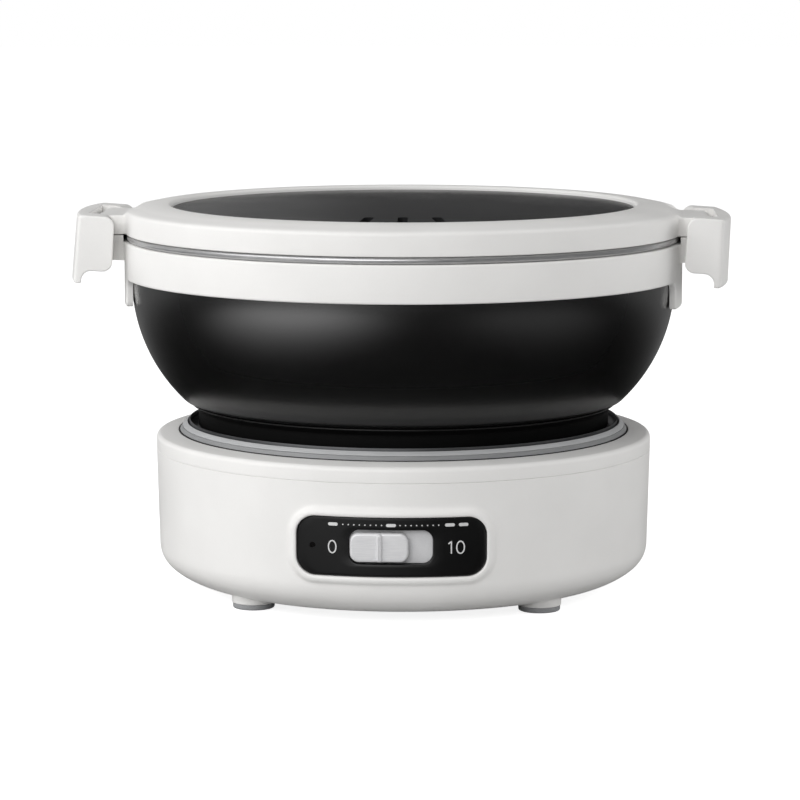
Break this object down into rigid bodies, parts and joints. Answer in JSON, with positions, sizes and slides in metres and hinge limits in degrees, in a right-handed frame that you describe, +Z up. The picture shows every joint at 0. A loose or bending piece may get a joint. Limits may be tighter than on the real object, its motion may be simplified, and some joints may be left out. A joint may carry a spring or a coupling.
{
  "type": "electric travel cooker",
  "caption": "Electric travel cooker: round heater base with a slide control, lift-off bowl pot in a winged collar, and a windowed lid held by hinged side latches",
  "frame": {"origin": "on the floor below the pot's axis", "axes": "+X to the right latch, +Z up, the panel faces -Y"},
  "size_m": [0.2372, 0.202, 0.1395],
  "materials": {
    "base_white": "satin",
    "collar_white": "semi gloss",
    "lid_white": "semi gloss",
    "latch_white": "semi gloss",
    "window_grey": "gloss, smoke tinted",
    "seal_rubber": "matte",
    "pad_rubber": "matte",
    "panel_black": "gloss",
    "silver_trim": "metallised satin",
    "silver_knob": "metallised satin",
    "lens": "gloss",
    "switch_body": "matte",
    "board": "satin",
    "ring_grey": "satin",
    "cast_aluminium": "cast satin",
    "shield_aluminium": "sheet",
    "element_steel": "dark",
    "steel": "plain",
    "rim_steel": "polished",
    "inlet_black": "matte",
    "pin_brass": "plain",
    "pot_black": "black non-stick coat, satin"
  },
  "bodies": {
    "base": {"housing": "base_white", "top_cover": "base_white", "foot_pads": "pad_rubber", "base_screws": "steel", "control_panel": "panel_black", "slot_bed": "silver_trim", "indicator_lens": "lens", "slide_switch": "switch_body", "control_board": "board", "heat_ring": "ring_grey", "heating_plate": "cast_aluminium", "heating_element": "element_steel", "plate_posts": "steel", "heat_shield": "shield_aluminium", "sensor_cup": "steel", "sensor_spring": "steel", "inlet_socket": "inlet_black", "inlet_pins": "pin_brass"},
    "slider": {"slider_knob": "silver_knob"},
    "sensor": {"sensor_cap": "cast_aluminium"},
    "pot": {"pot_bowl": "pot_black", "pot_rim": "rim_steel", "collar": "collar_white"},
    "lid": {"lid_frame": "lid_white", "lid_window": "window_grey", "lid_seal": "seal_rubber", "hinge_pins": "steel"},
    "latch_left": {"latch_left": "latch_white"},
    "latch_right": {"latch_right": "latch_white"}
  },
  "joints": [
    {"name": "slider_slide", "type": "slide", "parent": "base", "child": "slider", "axis": [1, 0, 0], "range_m": [0, 0.0078]},
    {"name": "sensor_press", "type": "slide", "parent": "base", "child": "sensor", "axis": [0, 0, 1], "range_m": [-0.002, 0], "stiffness_N_per_m": 600, "springref_m": 0.004, "deforming": ["sensor_spring"]},
    {"name": "pot_lift", "type": "slide", "parent": "base", "child": "pot", "axis": [0, 0, 1], "range_m": [0, 0.07]},
    {"name": "lid_lift", "type": "slide", "parent": "pot", "child": "lid", "axis": [0, 0, 1], "range_m": [0, 0.06]},
    {"name": "latch_left_hinge", "type": "hinge", "parent": "lid", "child": "latch_left", "pos_m": [-0.1083, 0, 0.1321], "axis": [0, 1, 0], "range_deg": [0, 95]},
    {"name": "latch_right_hinge", "type": "hinge", "parent": "lid", "child": "latch_right", "pos_m": [0.1083, 0, 0.1321], "axis": [0, -1, 0], "range_deg": [0, 95]}
  ]
}
